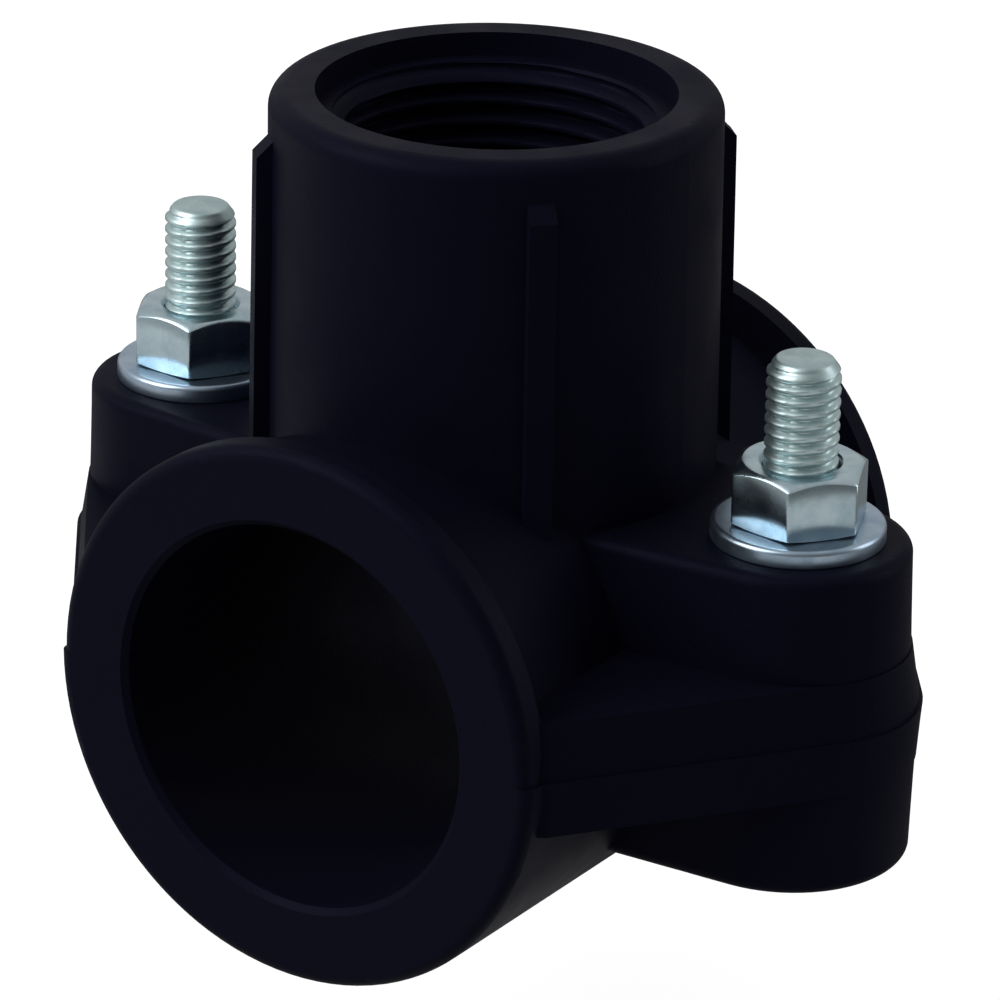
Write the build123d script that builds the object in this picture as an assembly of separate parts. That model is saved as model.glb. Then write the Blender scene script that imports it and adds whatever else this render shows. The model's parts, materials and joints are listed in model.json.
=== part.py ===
from build123d import *
import math
import os

# Tapping saddle: two moulded halves that bolt round a plastic pipe, the upper one
# with a threaded branch.  Millimetres.  The pipe runs along Y, the branch points up
# +Z, the bolts stand at +X and -X, and the origin is where the pipe's axis meets the
# branch's axis, in the plane where the two halves meet.

os.makedirs("parts", exist_ok=True)

# ---------------------------------------------------------------- driving dimensions

# the pipe and the bore that clamps it
pipe_diameter = 32.0
bore_play = 0.1
bore_chamfer = 0.5
saddle_length = 56.2

# the barrel: on the upper half a collar at each end and a thinner wall between them,
# on the lower half one even wall
collar_wall_top = 6.5
wall_bottom = 6.8
collar_width = 2.6
collar_round = 1.1
neck_wall = 4.1
neck_round = 0.8

# the branch: G 3/4 female thread, modelled as a plain wall at its major diameter
thread_major_diameter = 26.44
thread_length = 17.0
boss_wall = 5.0
boss_draft = 0.5
boss_rise = 28.7
boss_rim_round = 1.5
counterbore_wall = 3.7
counterbore_depth = 2.0
passage_diameter = 21.2

# the four upright ribs on the branch
rib_count = 4
rib_width = 2.2
rib_rise = 1.3
rib_drop = 3.2
rib_start_angle = 45.0

# the ears that carry the bolts, and the flange that ties them to the collars
bolt_stand_off = 13.3
ear_height_top = 13.6
ear_height_bottom = 13.4
ear_radius = 9.5
ear_root_half_width = 11.6
ear_draft_top = 1.5
ear_draft_bottom = 1.5
ear_radius_bottom = 10.2
ear_edge_round = 1.0
flange_height = 4.7
flange_spread = 0.75
flange_spread_bottom = 0.3
flange_draft_top = 9.0
flange_draft_bottom = 4.0
flange_set_back = 1.6
flange_corner_round = 2.0

# rubber ring round the passage, in a groove that follows the pipe
seal_land = 1.2
seal_land_set_back = 0.3
seal_width = 3.4
seal_depth = 2.6
seal_play = 0.05

# M6 fasteners
bolt_diameter = 6.0
bolt_length = 40.0
bolt_tip_chamfer = 1.0
hole_play = 0.4
head_across_flats = 10.0
head_height = 4.0
head_pocket_depth = 2.1
head_pocket_play = 0.15
head_turn = 30.0
nut_across_flats = 10.0
nut_height = 5.0
nut_bore_play = 0.05
nut_bore_chamfer = 0.45
nut_turn = -6.0
washer_diameter = 14.0
washer_thickness = 1.5
washer_play = 0.2
washer_edge_chamfer = 0.3
hex_chamfer_angle = 30.0
hex_face_share = 0.95

# ---------------------------------------------------------------- derived dimensions

bore_radius = pipe_diameter / 2 + bore_play
end_y = saddle_length / 2
thread_radius = thread_major_diameter / 2
boss_radius = thread_radius + boss_wall
boss_top = bore_radius + boss_rise
counterbore_radius = boss_radius - counterbore_wall
thread_top = boss_top - counterbore_depth
thread_bottom = thread_top - thread_length
passage_radius = passage_diameter / 2
bolt_x = bore_radius + bolt_stand_off
bolt_radius = bolt_diameter / 2
hole_radius = bolt_radius + hole_play
head_seat = -(ear_height_bottom - head_pocket_depth)
washer_seat = ear_height_top
nut_seat = washer_seat + washer_thickness
groove_inner = passage_radius + seal_land
groove_outer = groove_inner + seal_width
SIDES = {"left": -1, "right": 1}


# ---------------------------------------------------------------- shared shapes

def along_pipe(radius, length=saddle_length):
    """A cylinder on the pipe's axis."""
    return Rot(90, 0, 0) * Cylinder(radius, length)


def upright(radius, low, high, x=0.0):
    """A cylinder that stands on the level low and ends at the level high."""
    return Pos(x, 0, low) * Cylinder(radius, high - low, align=(Align.CENTER, Align.CENTER, Align.MIN))


def half_room(side):
    """All the room above (side 1) or below (side -1) the parting plane."""
    reach = 4 * saddle_length
    return Pos(0, 0, side * reach / 2) * Box(reach, reach, reach)


def hexagon(across_flats):
    return RegularPolygon(across_flats / 2, 6, major_radius=False)


def lozenge(corner_x, corner_y, radius):
    """Both ears in plan: a round about each bolt, joined by its tangents to four corners."""
    reach = math.hypot(bolt_x - corner_x, corner_y)
    turn = math.atan2(corner_y, corner_x - bolt_x) - math.acos(radius / reach)
    touch_x, touch_y = bolt_x + radius * math.cos(turn), radius * math.sin(turn)
    outline = Line((touch_x, touch_y), (corner_x, corner_y))
    if corner_x > 0:
        outline += Line((corner_x, corner_y), (0, corner_y))
    outline += mirror(outline, Plane.YZ)
    outline += mirror(outline, Plane.XZ)
    for side in SIDES.values():
        ends = [(side * touch_x, touch_y), (side * touch_x, -touch_y)]
        outline += ThreePointArc(ends[0], (side * (bolt_x + radius), 0), ends[1])
    return make_face(outline)


def ears_plan(radius):
    """The ears, which widen from the bolts to a waist on the branch's axis."""
    return lozenge(0, ear_root_half_width, radius)


def flange_plan(collar_radius, radius):
    """The flange, with straight edges from the collars' corners to the rounds of the ears."""
    plan = lozenge(collar_radius, end_y - flange_set_back, radius)
    corners = [vertex for vertex in plan.vertices()
               if math.isclose(abs(vertex.Y), end_y - flange_set_back, abs_tol=0.01)
               and abs(vertex.X) > collar_radius / 2]
    return fillet(corners, flange_corner_round)


def drafted(plan, height, draft):
    """A plan shape raised from the parting plane with drafted walls."""
    shrink = height * math.tan(math.radians(draft))
    top = Pos(0, 0, height) * offset(plan, amount=-shrink, kind=Kind.INTERSECTION)
    return loft([plan.face(), top.face()], ruled=True)


def ears(radius, height, draft):
    """Both ears as one drafted block with a rounded top edge."""
    block = drafted(ears_plan(radius), height, draft)
    return fillet(block.faces().sort_by(Axis.Z)[-1].edges(), ear_edge_round)


def barrel(radius):
    """The round body on the pipe, with rounded rims."""
    body = along_pipe(radius)
    return fillet(body.edges().filter_by(GeomType.CIRCLE), collar_round)


def necked_barrel(collar_radius, neck_radius):
    """The round body with a collar at each end and a slope from each collar down to the neck."""
    slope = collar_radius - neck_radius
    waste = [
        (collar_radius, end_y - collar_width),
        (neck_radius, end_y - collar_width - slope),
        (neck_radius, -end_y + collar_width + slope),
        (collar_radius, -end_y + collar_width),
    ]
    far = 2 * collar_radius
    outline = [(far, end_y - collar_width)] + waste + [(far, -end_y + collar_width)]
    body = barrel(collar_radius) - revolve(make_face(Polyline(*outline, close=True)), Axis.Y)
    waist = [edge for edge in body.edges().filter_by(GeomType.CIRCLE)
             if math.isclose(edge.radius, neck_radius, abs_tol=0.01)]
    return fillet(waist, neck_round)


def clamp_bore():
    """The pipe's bore with its chamfered mouths."""
    mouth = Rot(90, 0, 0) * Cone(bore_radius, bore_radius + bore_chamfer, bore_chamfer)
    far = Pos(0, -end_y + bore_chamfer / 2, 0) * mouth
    return along_pipe(bore_radius) + far + mirror(far, Plane.XZ)


def bolt_holes():
    holes = [upright(hole_radius, -2 * ear_height_bottom, 2 * ear_height_top, side * bolt_x)
             for side in SIDES.values()]
    return holes[0] + holes[1]


# ---------------------------------------------------------------- upper half

def boss():
    """The branch: a slightly drafted round post with a rounded rim."""
    foot = boss_radius + boss_top * math.tan(math.radians(boss_draft))
    post = Cone(foot, boss_radius, boss_top, align=(Align.CENTER, Align.CENTER, Align.MIN))
    return fillet(post.faces().sort_by(Axis.Z)[-1].edges(), boss_rim_round)


def boss_rib(angle):
    """One upright rib: a thin plate whose top slopes in to the branch's wall."""
    lean = boss_top * math.tan(math.radians(boss_draft))
    top = boss_top - rib_drop
    outer = boss_radius + rib_rise
    inner = thread_radius + boss_wall / 2
    side_view = Plane.XZ * make_face(Polyline(
        (inner, 0), (outer + lean, 0), (outer, top - rib_rise), (outer - rib_rise, top), (inner, top),
        close=True))
    plate = extrude(side_view, amount=rib_width / 2, both=True)
    return Rot(0, 0, angle) * plate


def seal_shape(inner, outer, depth):
    """A ring in plan that is bent round the pipe, from the bore outwards by depth."""
    ring = upright(outer, 0, boss_top) - upright(inner, 0, boss_top)
    return ring & (along_pipe(bore_radius + depth) - along_pipe(bore_radius))


def saddle_top():
    collar_radius = bore_radius + collar_wall_top
    body = necked_barrel(collar_radius, bore_radius + neck_wall)
    body += drafted(flange_plan(collar_radius, ear_radius + flange_spread),
                    flange_height, flange_draft_top)
    body += ears(ear_radius, ear_height_top, ear_draft_top)
    body += boss()
    for number in range(rib_count):
        body += boss_rib(rib_start_angle + number * 360 / rib_count)
    body &= half_room(1)
    body -= clamp_bore()
    body -= bolt_holes()
    body -= upright(passage_radius, 0, thread_bottom)
    body -= upright(thread_radius, thread_bottom, thread_top)
    body -= upright(counterbore_radius, thread_top, boss_top)
    body -= seal_shape(passage_radius, groove_inner, seal_land_set_back)
    return body - seal_shape(groove_inner, groove_outer, seal_depth)


def branch_seal():
    return seal_shape(groove_inner + seal_play, groove_outer - seal_play, seal_depth - seal_play)


# ---------------------------------------------------------------- lower half

def saddle_bottom():
    barrel_radius = bore_radius + wall_bottom
    body = barrel(barrel_radius)
    body += mirror(drafted(flange_plan(barrel_radius, ear_radius_bottom + flange_spread_bottom),
                           flange_height, flange_draft_bottom), Plane.XY)
    body += mirror(ears(ear_radius_bottom, ear_height_bottom, ear_draft_bottom), Plane.XY)
    body &= half_room(-1)
    body -= clamp_bore()
    body -= bolt_holes()
    pocket = extrude(hexagon(head_across_flats + 2 * head_pocket_play), amount=2 * head_pocket_depth)
    for side in SIDES.values():
        body -= Pos(side * bolt_x, 0, head_seat) * Rot(0, 0, head_turn) * mirror(pocket, Plane.XY)
    return body


# ---------------------------------------------------------------- fasteners

def hex_blank(across_flats, height, both_ends):
    """A hexagon with its corners turned off at 30 degrees, at the top or at both ends."""
    corner = across_flats / math.sqrt(3)
    flat = across_flats / 2 * hex_face_share
    drop = (corner - flat) * math.tan(math.radians(hex_chamfer_angle))
    bottom = [(0, 0), (flat, 0), (corner, drop)] if both_ends else [(0, 0), (corner, 0)]
    turned = revolve(Plane.XZ * make_face(Polyline(
        *bottom, (corner, height - drop), (flat, height), (0, height), close=True)), Axis.Z)
    return extrude(hexagon(across_flats), amount=height) & turned


def bolt():
    """Hexagon-head bolt, head down, with the shank at the thread's major diameter."""
    head = mirror(hex_blank(head_across_flats, head_height, False), Plane.XY)
    shank = upright(bolt_radius, 0, bolt_length)
    shank = chamfer(shank.faces().sort_by(Axis.Z)[-1].edges(), bolt_tip_chamfer)
    return Pos(0, 0, head_seat) * (Rot(0, 0, head_turn) * head + shank)


def nut():
    blank = hex_blank(nut_across_flats, nut_height, True)
    bore = upright(bolt_radius + nut_bore_play, 0, nut_height)
    blank -= bore
    rims = [edge for edge in blank.edges().filter_by(GeomType.CIRCLE)
            if math.isclose(edge.radius, bolt_radius + nut_bore_play, abs_tol=0.01)]
    blank = chamfer(rims, nut_bore_chamfer)
    return Pos(0, 0, nut_seat) * (Rot(0, 0, nut_turn) * blank)


def washer():
    disc = upright(washer_diameter / 2, 0, washer_thickness)
    disc = chamfer(disc.faces().sort_by(Axis.Z)[-1].edges(), washer_edge_chamfer)
    disc -= upright(bolt_radius + washer_play, 0, washer_thickness)
    return Pos(0, 0, washer_seat) * disc


# ---------------------------------------------------------------- the nodes

nodes = {
    "saddle_top": saddle_top(),
    "saddle_bottom": saddle_bottom(),
    "branch_seal": branch_seal(),
}
for side_name, side in SIDES.items():
    place = Pos(side * bolt_x, 0, 0)
    nodes["bolt_" + side_name] = place * bolt()
    nodes["washer_" + side_name] = place * washer()
    nodes["nut_" + side_name] = place * nut()

for node_name, shape in nodes.items():
    export_step(shape, "parts/" + node_name + ".step")
    print(node_name, "volume", round(shape.volume, 1))
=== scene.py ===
# %% [markdown]
# # A tapping saddle, dressed for the studio
#
# A tapping saddle is a clamp in two moulded halves that bolts round a plastic
# water pipe.  The upper half carries an upright branch with a pipe thread, so a
# valve can be screwed in and the pipe drilled through it.
#
# The CAD model already has every solid in its true place.  It is loaded first and
# never changed.  What this lesson adds is what a CAD model leaves plain: screw
# threads, softened metal edges, the finishes, a studio and a camera.

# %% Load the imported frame
import json
import math

import bpy
import numpy as np
from mathutils import Matrix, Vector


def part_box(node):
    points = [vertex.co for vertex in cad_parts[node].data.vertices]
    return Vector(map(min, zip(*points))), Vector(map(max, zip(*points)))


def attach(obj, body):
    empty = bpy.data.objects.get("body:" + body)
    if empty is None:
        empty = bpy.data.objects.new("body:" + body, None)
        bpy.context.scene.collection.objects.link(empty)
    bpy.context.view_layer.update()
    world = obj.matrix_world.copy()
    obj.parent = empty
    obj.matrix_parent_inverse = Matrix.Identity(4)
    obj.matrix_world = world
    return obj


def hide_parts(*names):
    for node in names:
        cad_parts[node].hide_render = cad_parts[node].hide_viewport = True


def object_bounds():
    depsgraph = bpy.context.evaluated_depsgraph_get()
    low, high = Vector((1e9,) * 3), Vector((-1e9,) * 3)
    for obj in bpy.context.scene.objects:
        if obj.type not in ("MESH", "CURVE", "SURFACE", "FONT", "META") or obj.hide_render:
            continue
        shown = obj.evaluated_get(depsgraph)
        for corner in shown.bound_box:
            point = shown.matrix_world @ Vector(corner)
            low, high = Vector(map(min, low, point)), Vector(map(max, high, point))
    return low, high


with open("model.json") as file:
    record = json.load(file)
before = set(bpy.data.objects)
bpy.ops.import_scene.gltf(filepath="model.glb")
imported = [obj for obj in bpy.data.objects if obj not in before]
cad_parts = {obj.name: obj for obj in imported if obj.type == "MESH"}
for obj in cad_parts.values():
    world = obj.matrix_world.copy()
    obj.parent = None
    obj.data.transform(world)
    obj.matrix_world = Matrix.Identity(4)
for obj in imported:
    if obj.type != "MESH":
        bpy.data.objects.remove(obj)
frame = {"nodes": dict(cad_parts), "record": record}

cad_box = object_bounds()
print("nodes:", sorted(frame["nodes"]))

# %% [markdown]
# ## Two small tools for meshes
#
# Every new piece here is turned: a screw, a nut, a washer, a threaded sleeve.  So
# one kind of surface is enough, a stack of closed rings.  Ring i holds the points
# at one station along the profile, and neighbouring rings are joined by quads.
# Where the stack ends, a fan closes it to one point.  Where the profile comes back
# to its start, as on a washer, the last ring is joined to the first instead.

# %% A skin over a stack of rings
MM = 0.001


def skin(name, rings, looped=False, fine_angle=38.0):
    """A closed mesh over rings[i, j], the point j of ring i, in millimetres.

    Each ring runs anticlockwise seen from +Z and the stack runs up the outside, so
    the faces point outwards.  looped joins the last ring to the first; otherwise
    both ends close with a fan to the middle of their ring.  Where two faces meet at
    more than fine_angle degrees, the edge stays crisp."""
    stations, count = rings.shape[:2]
    points = rings.reshape(-1, 3)
    index = np.arange(stations * count).reshape(stations, count)
    lower = index if looped else index[:-1]
    upper = np.roll(index, -1, axis=0) if looped else index[1:]
    quads = np.stack([lower, np.roll(lower, -1, axis=1), np.roll(upper, -1, axis=1), upper], axis=-1)
    quads = quads.reshape(-1, 4)
    fans = np.empty((0, 3), dtype=int)
    if not looped:
        middles = np.stack([rings[0].mean(axis=0), rings[-1].mean(axis=0)])
        first, last = len(points), len(points) + 1
        points = np.vstack([points, middles])
        bottom = np.stack([np.roll(index[0], -1), index[0], np.full(count, first)], axis=-1)
        top = np.stack([index[-1], np.roll(index[-1], -1), np.full(count, last)], axis=-1)
        fans = np.vstack([bottom, top])
    mesh = bpy.data.meshes.new(name)
    mesh.vertices.add(len(points))
    mesh.vertices.foreach_set("co", (points * MM).astype(np.float32).ravel())
    sizes = np.concatenate([np.full(len(quads), 4), np.full(len(fans), 3)])
    mesh.loops.add(int(sizes.sum()))
    corners = np.concatenate([quads.ravel(), fans.ravel()]).astype(np.int32)
    mesh.loops.foreach_set("vertex_index", corners)
    mesh.polygons.add(len(sizes))
    mesh.polygons.foreach_set("loop_start", (np.cumsum(sizes) - sizes).astype(np.int32))
    mesh.update(calc_edges=True)
    mesh.shade_smooth()
    mesh.set_sharp_from_angle(angle=math.radians(fine_angle))
    mesh.validate()
    piece = bpy.data.objects.new(name, mesh)
    bpy.context.scene.collection.objects.link(piece)
    print(name, "triangles:", 2 * len(quads) + len(fans))
    return piece


def turned(radius, height, angle, centre):
    """Rings from radius[i, j] and height[i] or height[i, j] at each angle[j], about an upright axis."""
    if np.ndim(height) == 1:
        height = np.broadcast_to(np.asarray(height)[:, None], radius.shape)
    x = centre[0] + radius * np.cos(angle)
    y = centre[1] + radius * np.sin(angle)
    return np.stack([x, y, height], axis=-1)


# %% [markdown]
# ## Where things are
#
# Positions come from the boxes of the CAD nodes.  A round washer's box is centred on
# its bolt, so it gives the bolt's axis, and the boxes of the nut and the bolt give
# their levels.

# %% Read levels and axes from the frame
def box_mm(node):
    """The lowest and highest corner of a node's box, in millimetres."""
    low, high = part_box(node)
    return np.array(low) / MM, np.array(high) / MM


def axis_of(node):
    """Where the upright axis of a round node stands, from the middle of its box."""
    low, high = box_mm(node)
    return (low + high)[:2] / 2


SIDES = ("left", "right")
for side in SIDES:
    tip_level = box_mm("bolt_" + side)[1][2]
    print(side, "bolt axis at", axis_of("washer_" + side).round(3), "tip at", tip_level.round(2))

# %% [markdown]
# ## The shape of a screw thread
#
# A metric thread is a 60 degree V that climbs by its pitch in one turn.  At a point
# with angle a and height z, the wave is at its crest where z / pitch - a / 360 is a
# whole number.  Rolling the thread and then plating it leaves the crests and roots
# slightly rounded, so the V is eased with a smooth step.

# %% The thread wave
def thread_wave(angle, height, pitch, crest_share, root_share):
    """1 on the crest and 0 in the root of a right-hand thread, for height[i] by angle[j].

    t runs from 0 at a crest to 1 at the next root; the flank between the two flats
    falls in a line that a smooth step eases at both ends."""
    turn = height[:, None] / pitch - angle[None, :] / (2 * math.pi)
    t = 2 * np.abs(turn - np.round(turn))
    flank = np.clip((t - crest_share) / (1 - crest_share - root_share), 0, 1)
    eased = 0.5 * flank + 0.5 * flank * flank * (3 - 2 * flank)
    return 1 - eased


# %% [markdown]
# ## Hexagons with broken corners
#
# A cold-formed hexagon never has knife edges.  Each corner is a small round between
# two flats, and the ends are turned off at 30 degrees, which leaves the curved
# chamfer line that everyone knows from a nut.

# %% The hexagon's radius and its chamfer
def hexagon_radius(angle, across_flats, corner_round, turn_degrees):
    """Distance from the axis to a hexagon's wall at each angle.

    Measured from the nearest flat's middle, the wall is flat / cos(d).  Past the
    point where the corner's round starts, it is the far side of a circle of radius
    corner_round that touches both flats."""
    flat = across_flats / 2
    sixth = math.pi / 3
    d = (angle - math.radians(turn_degrees)) % sixth - sixth / 2
    straight = flat / np.cos(d)
    reach = (flat - corner_round) / math.cos(sixth / 2)
    a = sixth / 2 - np.abs(d)
    rounded = reach * np.cos(a) + np.sqrt(np.maximum(corner_round ** 2 - (reach * np.sin(a)) ** 2, 0))
    start = math.atan2((flat - corner_round) * math.tan(sixth / 2), flat)
    return np.where(np.abs(d) > start, rounded, straight)


def chamfer_drop(radius, across_flats, face_share, degrees=30.0):
    """How far a hexagon's end face has dropped at a radius: a cone outside the turned face.

    The turned face's radius is face_share of half the width across the flats."""
    return np.maximum(radius - across_flats / 2 * face_share, 0) * math.tan(math.radians(degrees))


# %% [markdown]
# ## The bolts
#
# Each bolt is an M6 screw, 40 mm long, threaded to its head, which sits in a hexagon
# pocket under the lower half.  Its surface is one stack of rings: up the head, in
# across the seat, up the thread, and over the chamfered tip.  The tip's cone cuts the
# thread wave, as the die does on the real bolt, so the first turn fades in.
#
# The profile is a list of stations, each a radius and a height.  The hundredths of a
# millimetre between neighbours break every edge by a hair, so that it catches light.

# %% Make the bolts
SCREW_PITCH = 1.0
BOLT_CREST, BOLT_ROOT = 2.97, 2.55
BOLT_CREST_SHARE, BOLT_ROOT_SHARE = 0.24, 0.10
BOLT_TIP_FACE, BOLT_TIP_SLOPE, BOLT_TIP_SOFT = 2.28, 0.75, 0.10
HEAD_FLATS, HEAD_HEIGHT, HEAD_TURN, HEAD_FACE_SHARE = 10.0, 4.0, 30.0, 0.95
CORNER_ROUND = 0.22
RINGS_PER_TURN = 10
BOLT_SPOKES = 96


def rings_of(stations, spokes):
    """Radii and heights as two arrays, from (radius, height) stations.

    Each entry may be a single number, the same all the way round, or one per spoke."""
    radii = [np.broadcast_to(radius, spokes) for radius, _ in stations]
    heights = [np.broadcast_to(height, spokes) for _, height in stations]
    return np.array(radii), np.array(heights)


def make_bolt(side):
    """One bolt as a single skin: radius as a function of angle and of the station on the profile.

    Over a width of BOLT_TIP_SOFT the tip's cone blends into the thread, so that the
    first turn fades in without a crease."""
    node = "bolt_" + side
    low, high = box_mm(node)
    foot, tip = low[2], high[2]
    seat = foot + HEAD_HEIGHT
    angle = np.linspace(0, 2 * math.pi, BOLT_SPOKES, endpoint=False)
    hexagon = hexagon_radius(angle, HEAD_FLATS, CORNER_ROUND, HEAD_TURN)
    face = HEAD_FLATS / 2 * HEAD_FACE_SHARE
    drop = chamfer_drop(hexagon, HEAD_FLATS, HEAD_FACE_SHARE)
    head_radii, head_heights = rings_of([
        (0.5, foot), (face - 0.1, foot), (face, foot + 0.01),
        (hexagon - 0.03, foot + drop - 0.01), (hexagon, foot + drop + 0.06),
        (hexagon, seat - 0.06), (hexagon - 0.05, seat),
    ], BOLT_SPOKES)
    height = np.arange(seat, tip, SCREW_PITCH / RINGS_PER_TURN)
    wave = thread_wave(angle, height, SCREW_PITCH, BOLT_CREST_SHARE, BOLT_ROOT_SHARE)
    thread = BOLT_ROOT + (BOLT_CREST - BOLT_ROOT) * wave
    cone = BOLT_TIP_FACE + (tip - height)[:, None] * BOLT_TIP_SLOPE
    blend = np.clip(0.5 + (cone - thread) / (2 * BOLT_TIP_SOFT), 0, 1)
    radius = cone + (thread - cone) * blend - BOLT_TIP_SOFT * blend * (1 - blend)
    end_radii, end_heights = rings_of([
        (BOLT_TIP_FACE - 0.02, tip - 0.03), (BOLT_TIP_FACE - 0.14, tip), (0.6, tip),
    ], BOLT_SPOKES)
    radii = np.vstack([head_radii, radius, end_radii])
    levels = np.broadcast_to(height[:, None], radius.shape)
    heights = np.vstack([head_heights, levels, end_heights])
    bolt = skin("threaded_bolt_" + side, turned(radii, heights, angle, axis_of("washer_" + side)))
    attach(bolt, "lower")
    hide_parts(node)
    return bolt


bolts = [make_bolt(side) for side in SIDES]

# %% [markdown]
# ## The nuts
#
# A nut is a closed loop in section: up the hexagon, over the chamfer, across the
# face, down the threaded bore and back.  The bore's thread is the same wave as the
# bolt's, a hair larger, so the two mesh at rest and when the joints turn and slide
# together.  A countersink at each mouth cuts the wave away.  The bearing face is
# turned off more lightly than the top, so the flats run nearly straight into the
# washer.

# %% Make the nuts
NUT_FLATS, NUT_FACE_SHARE, NUT_FOOT_SHARE = 10.0, 0.93, 0.35
NUT_COUNTERSINK = 3.4
NUT_TURN = {"left": -3.0, "right": -7.5}
NUT_CREST, NUT_ROOT = 2.52, 3.04
NUT_CREST_SHARE, NUT_ROOT_SHARE = 0.14, 0.16
NUT_SPOKES = 240


def make_nut(side):
    """One nut as a looped skin: outside, top face, threaded bore, bottom face.

    The lower chamfer drops by only NUT_FOOT_SHARE of what the upper one does."""
    node = "nut_" + side
    low, high = box_mm(node)
    bottom, top = low[2], high[2]
    angle = np.linspace(0, 2 * math.pi, NUT_SPOKES, endpoint=False)
    hexagon = hexagon_radius(angle, NUT_FLATS, CORNER_ROUND, NUT_TURN[side])
    drop = chamfer_drop(hexagon, NUT_FLATS, NUT_FACE_SHARE)
    foot = drop * NUT_FOOT_SHARE
    face = NUT_FLATS / 2 * NUT_FACE_SHARE
    outside_radii, outside_heights = rings_of([
        (face, bottom), (face + 0.06, bottom + 0.02),
        (hexagon - 0.05, bottom + foot - 0.01), (hexagon, bottom + foot + 0.07),
        (hexagon, top - drop - 0.07), (hexagon - 0.05, top - drop + 0.01),
        (face + 0.06, top - 0.02), (face - 0.06, top), (NUT_COUNTERSINK + 0.05, top),
    ], NUT_SPOKES)
    height = np.arange(top - 0.02, bottom + 0.01, -SCREW_PITCH / RINGS_PER_TURN)
    wave = thread_wave(angle, height, SCREW_PITCH, NUT_CREST_SHARE, NUT_ROOT_SHARE)
    bore = NUT_ROOT - (NUT_ROOT - NUT_CREST) * (1 - wave)
    mouth = NUT_COUNTERSINK - np.minimum(top - height, height - bottom)[:, None]
    bore = np.maximum(bore, mouth)
    radii = np.vstack([outside_radii, bore])
    levels = np.broadcast_to(height[:, None], bore.shape)
    heights = np.vstack([outside_heights, levels])
    rings = turned(radii, heights, angle, axis_of("washer_" + side))
    nut = skin("hexagon_nut_" + side, rings, looped=True)
    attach(nut, node)
    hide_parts(node)
    return nut


nuts = [make_nut(side) for side in SIDES]

# %% [markdown]
# ## The washers
#
# A washer is punched from strip.  The punch draws the upper edge into a soft round
# and leaves the lower edge fairly sharp, and that round is what catches the light
# in a bright ring.

# %% Make the washers
WASHER_SOFT, WASHER_CRISP = 0.45, 0.12
WASHER_HOLE = 3.2
WASHER_SPOKES, ROUND_STEPS = 144, 7


def make_washer(side):
    """A washer as a looped skin: a rectangle with quarter rounds, carried round the axis.

    A quarter round of radius r has its middle r inside both edges that it joins."""
    node = "washer_" + side
    low, high = box_mm(node)
    bottom, top = low[2], high[2]
    outer = (high[0] - low[0]) / 2
    quarter = np.linspace(0, math.pi / 2, ROUND_STEPS)
    out, along = np.sin(quarter), np.cos(quarter)
    section = [
        (outer - WASHER_CRISP * (1 - out), bottom + WASHER_CRISP * (1 - along)),
        (outer - WASHER_SOFT * (1 - along), top - WASHER_SOFT * (1 - out)),
        (WASHER_HOLE + WASHER_CRISP * (1 - out), top - WASHER_CRISP * (1 - along)),
        (WASHER_HOLE + WASHER_CRISP * (1 - along), bottom + WASHER_CRISP * (1 - out)),
    ]
    radius = np.concatenate([r for r, _ in section])
    height = np.concatenate([h for _, h in section])
    angle = np.linspace(0, 2 * math.pi, WASHER_SPOKES, endpoint=False)
    radii = np.broadcast_to(radius[:, None], (len(radius), len(angle)))
    washer = skin("punched_washer_" + side, turned(radii, height, angle, axis_of(node)), looped=True)
    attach(washer, "upper")
    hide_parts(node)
    return washer


washers = [make_washer(side) for side in SIDES]

# %% [markdown]
# ## The thread in the branch
#
# The branch has a G 3/4 pipe thread, 14 turns to the inch, with a 55 degree rounded
# form.  The CAD wall stands at its root, so the moulded turns are a thin sleeve that
# sits against the wall: plain and hidden on its outside, wavy on its inside.

# %% Make the branch's thread
PIPE_PITCH = 25.4 / 14
PIPE_ROOT, PIPE_CREST = 13.16, 12.06
PIPE_FLAT_SHARE, LEAD_SLOPE = 0.10, 0.8
SLEEVE_OUTER = 13.5
THREAD_TOP_BELOW_RIM, THREAD_LENGTH = 2.0, 17.0
SLEEVE_SPOKES, SLEEVE_RINGS_PER_TURN = 160, 14


def make_branch_thread():
    """The sleeve as a looped skin: outer wall up, thread down, with a lead-in cone at each end."""
    rim = box_mm("saddle_top")[1][2]
    top = rim - THREAD_TOP_BELOW_RIM
    bottom = top - THREAD_LENGTH
    angle = np.linspace(0, 2 * math.pi, SLEEVE_SPOKES, endpoint=False)
    height = np.arange(top - 0.03, bottom + 0.02, -PIPE_PITCH / SLEEVE_RINGS_PER_TURN)
    wave = thread_wave(angle, height, PIPE_PITCH, PIPE_FLAT_SHARE, PIPE_FLAT_SHARE)
    wave = wave * wave * (3 - 2 * wave)
    radius = PIPE_ROOT - (PIPE_ROOT - PIPE_CREST) * (1 - wave)
    mouth = PIPE_ROOT + 0.02
    lead = mouth - np.minimum(top - height, height - bottom)[:, None] * LEAD_SLOPE
    radius = np.maximum(radius, np.minimum(lead, mouth))
    radii = np.vstack([np.full((2, SLEEVE_SPOKES), SLEEVE_OUTER), radius])
    heights = np.concatenate([[bottom + 0.03, top - 0.02], height])
    sleeve = skin("branch_thread", turned(radii, heights, angle, (0.0, 0.0)), looped=True)
    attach(sleeve, "upper")
    return sleeve


branch_thread = make_branch_thread()

# %% [markdown]
# ## Colours and nodes
#
# Colours are written as the hex values a painter would pick on a screen, and one
# function turns them into the linear light that the renderer mixes.

# %% Two helpers for materials
def linear(hex_colour):
    """sRGB hex to linear RGBA, by the standard's curve."""
    share = [int(hex_colour[i:i + 2], 16) / 255 for i in (0, 2, 4)]
    return tuple(c / 12.92 if c <= 0.04045 else ((c + 0.055) / 1.055) ** 2.4 for c in share) + (1.0,)


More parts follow.
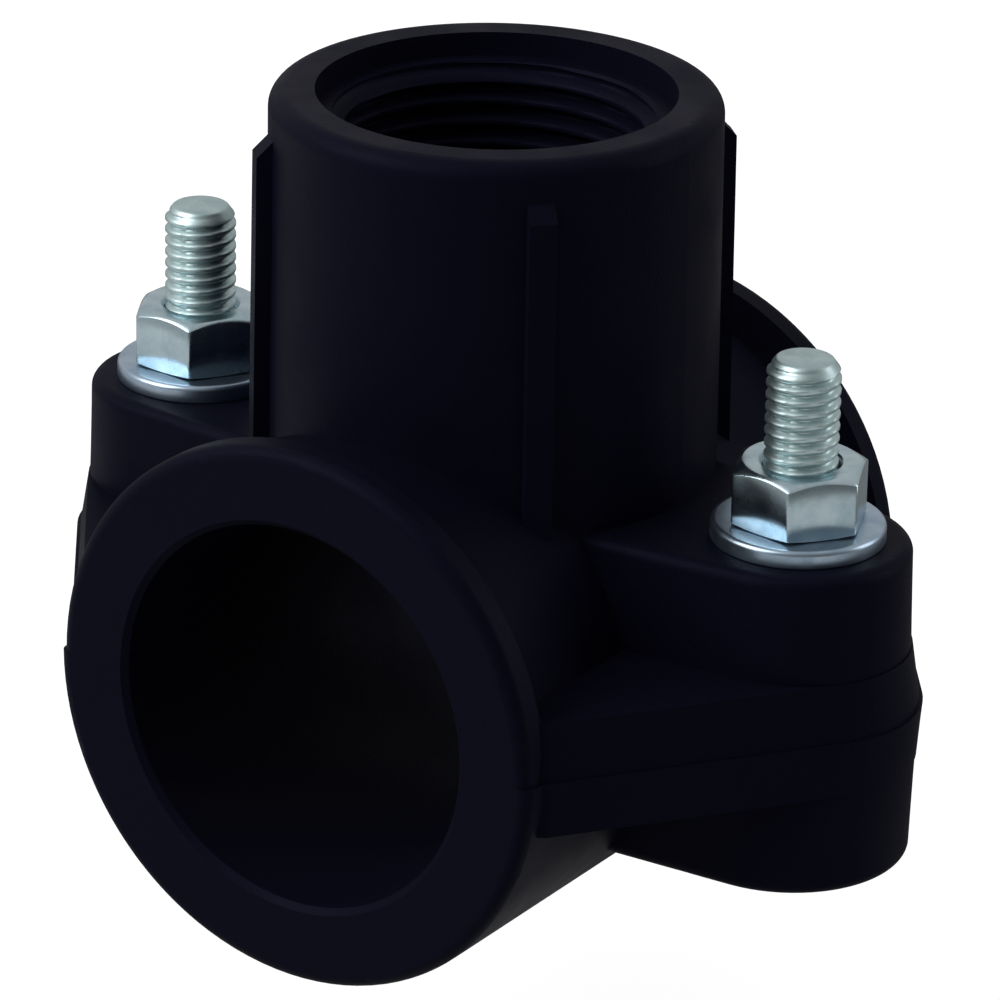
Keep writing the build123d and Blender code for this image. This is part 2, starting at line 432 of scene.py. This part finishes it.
def add_node(tree, kind, settings=None, inputs=None, links=None):
    """Adds one node: attributes from settings, socket values from inputs, wires from links."""
    node = tree.nodes.new(kind)
    for name, value in (settings or {}).items():
        setattr(node, name, value)
    for name, value in (inputs or {}).items():
        node.inputs[name].default_value = value
    for name, socket in (links or {}).items():
        tree.links.new(socket, node.inputs[name])
    return node


def new_material(name):
    """A material with an empty node tree, and that tree."""
    material = bpy.data.materials.new(name)
    material.use_nodes = True
    material.node_tree.nodes.clear()
    return material, material.node_tree


# %% [markdown]
# ## Black polypropylene, injection moulded
#
# Polypropylene filled with talc and carbon black.  The mould's surface was
# spark-eroded, which gives the plastic a fine, even grain.  The real grain is near a
# tenth of a millimetre and would not show, so it is drawn about twice as coarse.  The
# eye reads a soft sheen that follows the form, a slightly blue black, and faint
# cloudy patches where the melt flowed.  The mirror part of the sheen is kept weak,
# since a rough grain shadows its own glints at a low angle.

# %% Make the moulded plastic
GRAIN_MM = 0.22
CLOUD_MM = 7.0
PLASTIC_DARK, PLASTIC_LIGHT, PLASTIC_GLINT = "090a14", "101121", "c0c6ff"
PLASTIC_ROUGHNESS = (0.42, 0.56)
PLASTIC_IOR, PLASTIC_SPECULAR = 1.49, 0.05
GRAIN_DEPTH_MM, GRAIN_STRENGTH = 0.04, 0.6


def noise(tree, vector, size_mm, detail, roughness=0.5):
    """A noise node whose blobs are about size_mm across, so its scale is one over that size.

    Its values mostly lie between 0.3 and 0.7, so the ranges below start and end there."""
    settings = {"Scale": 1 / (size_mm * MM), "Detail": detail, "Roughness": roughness}
    return add_node(tree, "ShaderNodeTexNoise", {"noise_dimensions": "3D"}, settings, {"Vector": vector})


def moulded_polypropylene():
    """Grain tints and dents the surface; cloud makes it duller and glossier in patches."""
    material, tree = new_material("black_polypropylene_moulded")
    spot = add_node(tree, "ShaderNodeTexCoord").outputs["Object"]
    grain = noise(tree, spot, GRAIN_MM, 2.0, 0.6)
    cloud = noise(tree, spot, CLOUD_MM, 3.0, 0.55)
    glossiest, dullest = PLASTIC_ROUGHNESS
    sheen = add_node(tree, "ShaderNodeMapRange", {},
                     {"From Min": 0.3, "From Max": 0.7, "To Min": glossiest, "To Max": dullest},
                     {"Value": cloud.outputs["Fac"]})
    tint = add_node(tree, "ShaderNodeMix", {"data_type": "RGBA"},
                    {"A": linear(PLASTIC_DARK), "B": linear(PLASTIC_LIGHT)},
                    {"Factor": grain.outputs["Fac"]})
    bump = add_node(tree, "ShaderNodeBump", {},
                    {"Strength": GRAIN_STRENGTH, "Distance": GRAIN_DEPTH_MM * MM},
                    {"Height": grain.outputs["Fac"]})
    shader = add_node(tree, "ShaderNodeBsdfPrincipled", {},
                      {"IOR": PLASTIC_IOR, "Specular IOR Level": PLASTIC_SPECULAR,
                       "Specular Tint": linear(PLASTIC_GLINT)},
                      {"Base Color": tint.outputs["Result"], "Roughness": sheen.outputs["Result"],
                       "Normal": bump.outputs["Normal"]})
    add_node(tree, "ShaderNodeOutputMaterial", links={"Surface": shader.outputs["BSDF"]})
    return material


plastic = moulded_polypropylene()

# %% [markdown]
# ## Bright zinc on steel
#
# Electroplated zinc with a clear blue passivation.  It is a metal, so all its colour
# is in its reflections: near white, a little cool.  The bath leaves fine pits and
# soft brighter and duller patches.  Real pits are a few hundredths of a millimetre
# and would not show, so they are drawn several times as coarse.  The nuts are the
# glossiest, the punched strip is duller and the rolled threads are dullest.

# %% Make the zinc finishes
PATCH_MM = 2.2
PIT_STRENGTH = 0.4


def zinc_plated(name, colour, shade, roughness, pit_mm, pit_depth_mm):
    """Plated steel: patches of slightly different tone and roughness over fine pits.

    roughness is the range from the brightest patch to the dullest."""
    material, tree = new_material(name)
    spot = add_node(tree, "ShaderNodeTexCoord").outputs["Object"]
    patch = noise(tree, spot, PATCH_MM, 4.0, 0.6)
    pits = noise(tree, spot, pit_mm, 3.0, 0.65)
    tone = add_node(tree, "ShaderNodeMapRange", {},
                    {"From Min": 0.35, "From Max": 0.7}, {"Value": patch.outputs["Fac"]})
    tint = add_node(tree, "ShaderNodeMix", {"data_type": "RGBA"},
                    {"A": linear(colour), "B": linear(shade)}, {"Factor": tone.outputs["Result"]})
    glossiest, dullest = roughness
    rough = add_node(tree, "ShaderNodeMapRange", {},
                     {"From Min": 0.3, "From Max": 0.75, "To Min": glossiest, "To Max": dullest},
                     {"Value": patch.outputs["Fac"]})
    bump = add_node(tree, "ShaderNodeBump", {},
                    {"Strength": PIT_STRENGTH, "Distance": pit_depth_mm * MM},
                    {"Height": pits.outputs["Fac"]})
    shader = add_node(tree, "ShaderNodeBsdfPrincipled", {}, {"Metallic": 1.0},
                      {"Base Color": tint.outputs["Result"], "Roughness": rough.outputs["Result"],
                       "Normal": bump.outputs["Normal"]})
    add_node(tree, "ShaderNodeOutputMaterial", links={"Surface": shader.outputs["BSDF"]})
    return material


bright_zinc = zinc_plated("bright_zinc_plate", "c8dbe2", "aec6d0", (0.20, 0.32), 0.35, 0.010)
punched_zinc = zinc_plated("blue_zinc_plate_on_punched_strip", "b6c8d8", "9fb4c8", (0.28, 0.40),
                           0.40, 0.014)
thread_zinc = zinc_plated("rolled_thread_zinc_plate", "cde0e1", "b2c8ca", (0.38, 0.50), 0.30, 0.014)

# %% [markdown]
# ## Moulded rubber
#
# The ring round the passage is black nitrile rubber, moulded in a polished tool.  It
# is matt and a little browner than the plastic.

# %% Make the rubber
DUST_MM = 1.2
RUBBER_IOR = 1.52


def moulded_rubber():
    """A dark, dull black with a faint bloom of paler dust."""
    material, tree = new_material("nitrile_rubber_moulded")
    spot = add_node(tree, "ShaderNodeTexCoord").outputs["Object"]
    dust = noise(tree, spot, DUST_MM, 3.0)
    tint = add_node(tree, "ShaderNodeMix", {"data_type": "RGBA"},
                    {"A": linear("0c0b0b"), "B": linear("191817")}, {"Factor": dust.outputs["Fac"]})
    rough = add_node(tree, "ShaderNodeMapRange", {}, {"To Min": 0.62, "To Max": 0.78},
                     {"Value": dust.outputs["Fac"]})
    shader = add_node(tree, "ShaderNodeBsdfPrincipled", {}, {"IOR": RUBBER_IOR},
                      {"Base Color": tint.outputs["Result"], "Roughness": rough.outputs["Result"]})
    add_node(tree, "ShaderNodeOutputMaterial", links={"Surface": shader.outputs["BSDF"]})
    return material


rubber = moulded_rubber()

# %% Put the finishes on
def dress(piece, material):
    """Gives every slot of a piece one material."""
    if not piece.data.materials:
        piece.data.materials.append(material)
    for slot in piece.material_slots:
        slot.material = material


for piece in nuts:
    dress(piece, bright_zinc)
for piece in washers:
    dress(piece, punched_zinc)
for piece in bolts:
    dress(piece, thread_zinc)
for piece in (frame["nodes"]["saddle_top"], frame["nodes"]["saddle_bottom"], branch_thread):
    dress(piece, plastic)
dress(frame["nodes"]["branch_seal"], rubber)

# %% [markdown]
# ## The studio
#
# A pale floor and a white surround.  The white that the lens sees comes from the
# floor's and the world's own colour for camera rays, so no extra light is poured on
# the object to reach it.  Mirror rays meet a dimmer room: the floor glows to them
# only in front of the object, and the world is brightest high up on the left.  That
# room is what the zinc mirrors, and a white one would lay a grey haze on the black
# plastic.

# %% Floor and world
WHITE = (1, 1, 1, 1)
FLOOR_SIZE = 3.0
FLOOR_GAP_MM = 0.3
FLOOR_PAPER = "8c8c8c"
FLOOR_GLOW_SEEN, FLOOR_GLOW_MIRRORED = 0.93, 0.34
GLOW_STARTS_Y, GLOW_FULL_Y = 0.07, -0.02
BRIGHT_SIDE = (-0.58, 0.36, 0.73)
ROOM_DIM, ROOM_BRIGHT = 0.12, 0.52
DIM_AT, BRIGHT_AT = -0.5, 0.9


def seen_by_lens(tree, rays):
    """1 for a ray from the camera, straight or through something clear, and 0 for any other."""
    seen = add_node(tree, "ShaderNodeMath", {"operation": "MAXIMUM"}, {},
                    {0: rays.outputs["Is Camera Ray"], 1: rays.outputs["Is Transmission Ray"]})
    return seen.outputs[0]


def white_floor():
    """A square floor with a soft shadow on a white glow, low enough for the opened clamp.

    The lower half slides down when the clamp opens, so the floor lies that travel and
    a small gap below the lowest point, and the closed saddle stands off it as it does
    on a pipe.  The glow is what the lens sees plus, for mirror rays, a share that
    grows from GLOW_STARTS_Y to GLOW_FULL_Y (both in metres)."""
    joints = frame["record"]["behaviour"]["joints"]
    travel = max(joint["range_m"][1] for joint in joints if joint["type"] == "slide")
    level = (cad_box[0][2] - travel) / MM - FLOOR_GAP_MM
    half = FLOOR_SIZE / 2 / MM
    corners = np.array([[x * half, y * half, level] for x, y in ((-1, -1), (1, -1), (1, 1), (-1, 1))])
    mesh = bpy.data.meshes.new("studio_floor")
    mesh.from_pydata((corners * MM).tolist(), [], [(0, 1, 2, 3)])
    floor = bpy.data.objects.new("studio_floor", mesh)
    bpy.context.scene.collection.objects.link(floor)
    material, tree = new_material("white_studio_sweep")
    rays = add_node(tree, "ShaderNodeLightPath")
    spot = add_node(tree, "ShaderNodeTexCoord")
    parts = add_node(tree, "ShaderNodeSeparateXYZ", {}, {}, {"Vector": spot.outputs["Object"]})
    fore = add_node(tree, "ShaderNodeMapRange", {"interpolation_type": "SMOOTHSTEP"},
                    {"From Min": GLOW_STARTS_Y, "From Max": GLOW_FULL_Y,
                     "To Min": 0.0, "To Max": FLOOR_GLOW_MIRRORED},
                    {"Value": parts.outputs["Y"]})
    mirrored = add_node(tree, "ShaderNodeMath", {"operation": "MULTIPLY"}, {},
                        {0: rays.outputs["Is Glossy Ray"], 1: fore.outputs["Result"]})
    strength = add_node(tree, "ShaderNodeMath", {"operation": "MULTIPLY_ADD"}, {1: FLOOR_GLOW_SEEN},
                        {0: seen_by_lens(tree, rays), 2: mirrored.outputs[0]})
    glow = add_node(tree, "ShaderNodeEmission", {}, {"Color": WHITE}, {"Strength": strength.outputs[0]})
    paper = add_node(tree, "ShaderNodeBsdfDiffuse", {}, {"Color": linear(FLOOR_PAPER)})
    both = add_node(tree, "ShaderNodeAddShader", {}, {}, {0: glow.outputs[0], 1: paper.outputs[0]})
    add_node(tree, "ShaderNodeOutputMaterial", links={"Surface": both.outputs[0]})
    floor.data.materials.append(material)
    print("floor at", round(level, 1), "mm, the clamp opens by", round(travel / MM, 1), "mm")


def pale_world():
    """White to the camera, and to every other ray a room lit from the upper left.

    The dot product of the ray's direction with BRIGHT_SIDE runs from -1 to 1.  The
    room's brightness follows it from ROOM_DIM at DIM_AT to ROOM_BRIGHT at BRIGHT_AT."""
    world = bpy.data.worlds.new("studio_room")
    world.use_nodes = True
    tree = world.node_tree
    tree.nodes.clear()
    rays = add_node(tree, "ShaderNodeLightPath")
    heading = add_node(tree, "ShaderNodeTexCoord")
    side = add_node(tree, "ShaderNodeVectorMath", {"operation": "DOT_PRODUCT"}, {1: BRIGHT_SIDE},
                    {0: heading.outputs["Generated"]})
    room = add_node(tree, "ShaderNodeMapRange", {"interpolation_type": "SMOOTHSTEP"},
                    {"From Min": DIM_AT, "From Max": BRIGHT_AT,
                     "To Min": ROOM_DIM, "To Max": ROOM_BRIGHT},
                    {"Value": side.outputs["Value"]})
    strength = add_node(tree, "ShaderNodeMath", {"operation": "MAXIMUM"}, {},
                        {0: seen_by_lens(tree, rays), 1: room.outputs[0]})
    sky = add_node(tree, "ShaderNodeBackground", {}, {"Color": WHITE},
                   {"Strength": strength.outputs[0]})
    add_node(tree, "ShaderNodeOutputWorld", links={"Surface": sky.outputs[0]})
    bpy.context.scene.world = world


white_floor()
pale_world()

# %% [markdown]
# ## The lamps
#
# One large soft box stands high in front on the left.  It draws the long sheen down
# the branch and gives the nuts' front flats their even tone, because a big box is
# mirrored as a soft area rather than a spot.  A weaker upright strip behind on the
# right edges the dark side, so the black part stands off the background.

# %% Hang the lamps
def stand(thing, right, up, back, spot):
    """Puts a lamp or camera at spot in millimetres, looking along -back with up upwards."""
    matrix = np.eye(4)
    matrix[:3] = np.stack([right, up, back, np.asarray(spot) * MM], axis=1)
    thing.matrix_world = Matrix(matrix.tolist())
    bpy.context.scene.collection.objects.link(thing)


def soft_box(name, spot, aim, width, height, watts):
    """A rectangular white area lamp at spot, facing aim (both in millimetres)."""
    box = bpy.data.lights.new(name, "AREA")
    box.shape = "RECTANGLE"
    box.size, box.size_y = width * MM, height * MM
    box.energy = watts
    spot, aim = np.array(spot, float), np.array(aim, float)
    back = (spot - aim) / np.linalg.norm(spot - aim)
    right = np.cross((0, 0, 1), back)
    right /= np.linalg.norm(right)
    stand(bpy.data.objects.new(name, box), right, np.cross(back, right), back, spot)
    print(name, "stands", round(float(np.linalg.norm(spot - aim))), "mm away at", watts, "W")


soft_box("key_soft_box", spot=(-310, -420, 430), aim=(0, 0, 15), width=520, height=520, watts=2.9)
soft_box("rim_strip", spot=(430, 330, 160), aim=(10, 0, 10), width=240, height=420, watts=0.6)

# %% [markdown]
# ## The camera
#
# A long lens stands half a metre away, turned 34 degrees from the mouth of the bore
# towards the right-hand bolt and raised 23 degrees, and leans about one degree.  Its
# place is worked out from those angles, with an offset so that the object is centred.

# %% Set the camera
VIEW_AZIMUTH, VIEW_ELEVATION, VIEW_ROLL = 33.58, 22.67, 1.10
VIEW_DISTANCE = 494.6
LENS_RATIO, SENSOR_WIDTH = 5.995, 36.0
OFFSET_RIGHT, OFFSET_UP = 1.041, 8.62


def camera_axes(azimuth, elevation, roll):
    """Right, up and backward unit vectors of a camera turned by azimuth from -Y towards +X."""
    a, e, r = (math.radians(v) for v in (azimuth, elevation, roll))
    level = np.array([math.cos(a), math.sin(a), 0.0])
    out = np.array([math.sin(a), -math.cos(a), 0.0])
    back = math.cos(e) * out + math.sin(e) * np.array([0, 0, 1.0])
    over = np.cross(back, level)
    right = math.cos(r) * level + math.sin(r) * over
    up = -math.sin(r) * level + math.cos(r) * over
    return right, up, back


def studio_camera():
    """A camera whose focal length is LENS_RATIO times the width of its sensor."""
    right, up, back = camera_axes(VIEW_AZIMUTH, VIEW_ELEVATION, VIEW_ROLL)
    spot = VIEW_DISTANCE * back + OFFSET_RIGHT * right + OFFSET_UP * up
    lens = bpy.data.cameras.new("studio_camera")
    lens.sensor_width = SENSOR_WIDTH
    lens.lens = LENS_RATIO * SENSOR_WIDTH
    lens.clip_start, lens.clip_end = 0.01, 20.0
    camera = bpy.data.objects.new("studio_camera", lens)
    stand(camera, right, up, back, spot)
    print("camera stands", round(float(np.linalg.norm(spot))), "mm away")
    return camera


bpy.context.scene.camera = studio_camera()
bpy.context.scene.view_settings.view_transform = "Standard"
